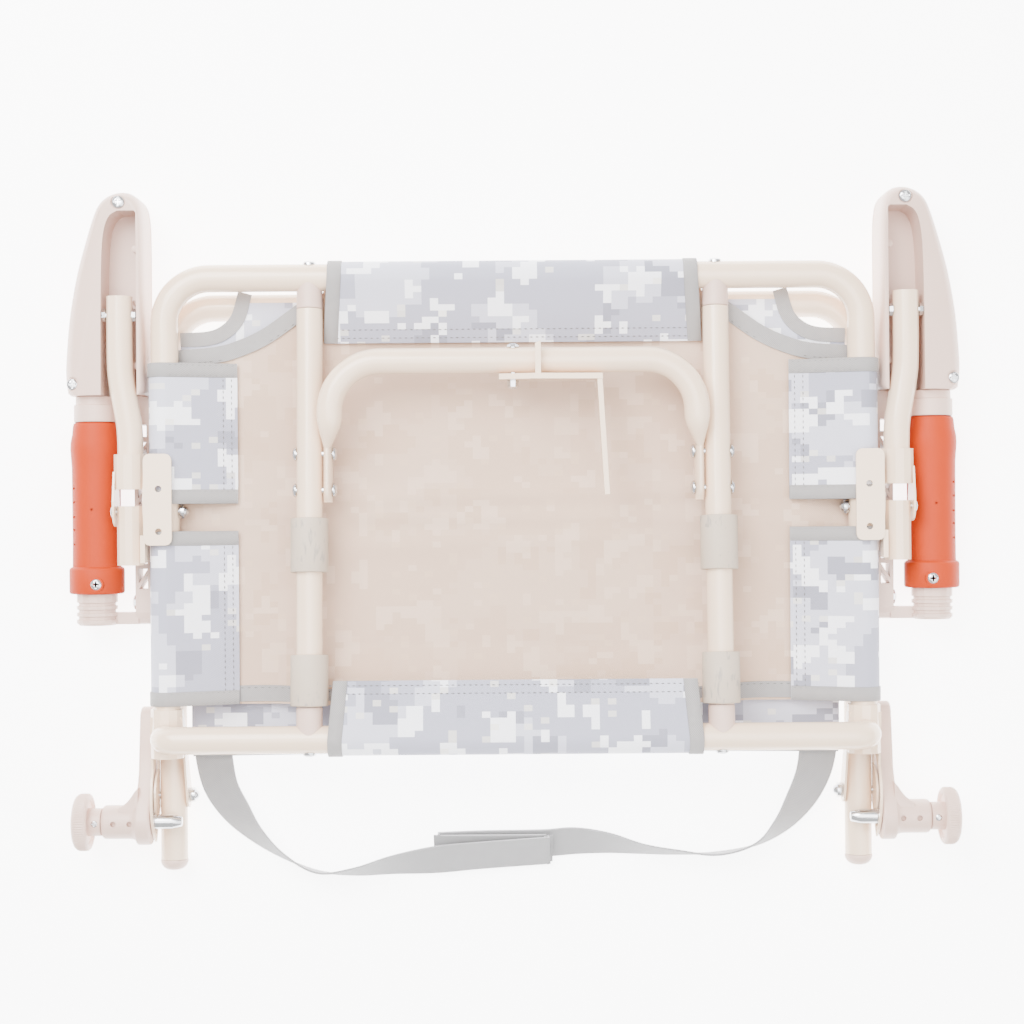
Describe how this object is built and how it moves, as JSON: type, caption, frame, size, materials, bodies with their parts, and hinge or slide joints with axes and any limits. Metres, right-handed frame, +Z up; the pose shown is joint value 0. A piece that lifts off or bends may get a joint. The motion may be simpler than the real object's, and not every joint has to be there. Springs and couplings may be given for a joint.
{
  "type": "legless folding armchair",
  "caption": "Legless reclining armchair folded flat, with tubular frames, cloth slings, braced moulded armrests, recline knobs and a carry strap.",
  "frame": {"origin": "on the floor under the middle of the folded chair's box", "axes": "+X to the right across the chair, +Y towards the seat's front tube, +Z up; folded flat with the seat's underside up"},
  "size_m": [0.7242, 0.5584, 0.09],
  "materials": {
    "frame_paint": "glossy cream powder coat",
    "beige_plastic": "satin moulded plastic",
    "matte_plastic": "matte, scuffed",
    "grip_rubber": "matte orange",
    "zinc": "bright zinc plate",
    "sling_cloth": "plain woven underside, pale camouflage face",
    "webbing": "grey ribbed webbing"
  },
  "bodies": {
    "seat": {"seat_frame": "frame_paint", "rear_cross_tube": "frame_paint", "bench_frame": "frame_paint", "hook_rivet": "zinc", "seat_sling": "sling_cloth", "seat_rail_left": "frame_paint", "seat_clevis_left": "frame_paint", "arm_bracket_left": "frame_paint", "brace_pivot_bolt_left": "zinc", "bench_rivet_rear_left": "zinc", "bench_rivet_front_left": "zinc", "saddle_plug_front_left": "beige_plastic", "saddle_plug_rear_left": "beige_plastic", "rail_sleeve_front_left": "matte_plastic", "rail_sleeve_rear_left": "matte_plastic", "seat_rail_right": "frame_paint", "seat_clevis_right": "frame_paint", "arm_bracket_right": "frame_paint", "brace_pivot_bolt_right": "zinc", "bench_rivet_rear_right": "zinc", "bench_rivet_front_right": "zinc", "saddle_plug_front_right": "beige_plastic", "saddle_plug_rear_right": "beige_plastic", "rail_sleeve_front_right": "matte_plastic", "rail_sleeve_rear_right": "matte_plastic"},
    "back": {"back_frame": "frame_paint", "back_sling": "sling_cloth", "carry_strap": "webbing", "back_end_cap_left": "beige_plastic", "plunger_arm_left": "beige_plastic", "back_pivot_bolt_left": "zinc", "arm_pivot_bolt_left": "zinc", "plunger_spring_left": "zinc", "back_end_cap_right": "beige_plastic", "plunger_arm_right": "beige_plastic", "back_pivot_bolt_right": "zinc", "arm_pivot_bolt_right": "zinc", "plunger_spring_right": "zinc"},
    "plunger_left": {"plunger_pin_left": "zinc", "plunger_knob_left": "beige_plastic"},
    "arm_left": {"armrest_cover_left": "beige_plastic", "armrest_shell_left": "beige_plastic", "arm_grip_left": "grip_rubber", "arm_ring_left": "beige_plastic", "arm_rail_left": "beige_plastic"},
    "brace_left": {"brace_tube_left": "frame_paint", "brace_clevis_left": "frame_paint", "brace_pin_left": "zinc"},
    "plunger_right": {"plunger_pin_right": "zinc", "plunger_knob_right": "beige_plastic"},
    "arm_right": {"armrest_cover_right": "beige_plastic", "armrest_shell_right": "beige_plastic", "arm_grip_right": "grip_rubber", "arm_ring_right": "beige_plastic", "arm_rail_right": "beige_plastic"},
    "brace_right": {"brace_tube_right": "frame_paint", "brace_clevis_right": "frame_paint", "brace_pin_right": "zinc"},
    "hook": {"bench_hook": "frame_paint"}
  },
  "joints": [
    {"name": "back_recline", "type": "hinge", "parent": "seat", "child": "back", "pos_m": [0, -0.21075, 0.014], "axis": [-1, 0, 0], "range_deg": [0, 105]},
    {"name": "arm_left_pivot", "type": "hinge", "parent": "back", "child": "arm_left", "pos_m": [-0.2956, -0.05275, 0.014], "axis": [-1, 0, 0], "range_deg": [-105, 0]},
    {"name": "brace_left_pivot", "type": "hinge", "parent": "seat", "child": "brace_left", "pos_m": [-0.308, 0.02125, 0.044], "axis": [-1, 0, 0], "range_deg": [0, 105]},
    {"name": "arm_right_pivot", "type": "hinge", "parent": "back", "child": "arm_right", "pos_m": [0.2956, -0.05275, 0.014], "axis": [-1, 0, 0], "range_deg": [-105, 0]},
    {"name": "brace_right_pivot", "type": "hinge", "parent": "seat", "child": "brace_right", "pos_m": [0.308, 0.02125, 0.044], "axis": [-1, 0, 0], "range_deg": [0, 105]},
    {"name": "plunger_left_pull", "type": "slide", "parent": "back", "child": "plunger_left", "axis": [-1, 0, 0], "range_m": [0, 0.01], "stiffness_N_per_m": 500, "springref_m": -0.004, "deforming": ["plunger_spring_left"]},
    {"name": "plunger_right_pull", "type": "slide", "parent": "back", "child": "plunger_right", "axis": [1, 0, 0], "range_m": [0, 0.01], "stiffness_N_per_m": 500, "springref_m": -0.004, "deforming": ["plunger_spring_right"]},
    {"name": "hook_swivel", "type": "hinge", "parent": "seat", "child": "hook", "pos_m": [0, 0.13875, 0.07], "axis": [0, -1, 0], "range_deg": [0, 90]}
  ],
  "couplings": [
    {"joint": "arm_left_pivot", "follows": "back_recline", "ratio": -1},
    {"joint": "brace_left_pivot", "follows": "back_recline", "ratio": 1},
    {"joint": "arm_right_pivot", "follows": "back_recline", "ratio": -1},
    {"joint": "brace_right_pivot", "follows": "back_recline", "ratio": 1}
  ]
}
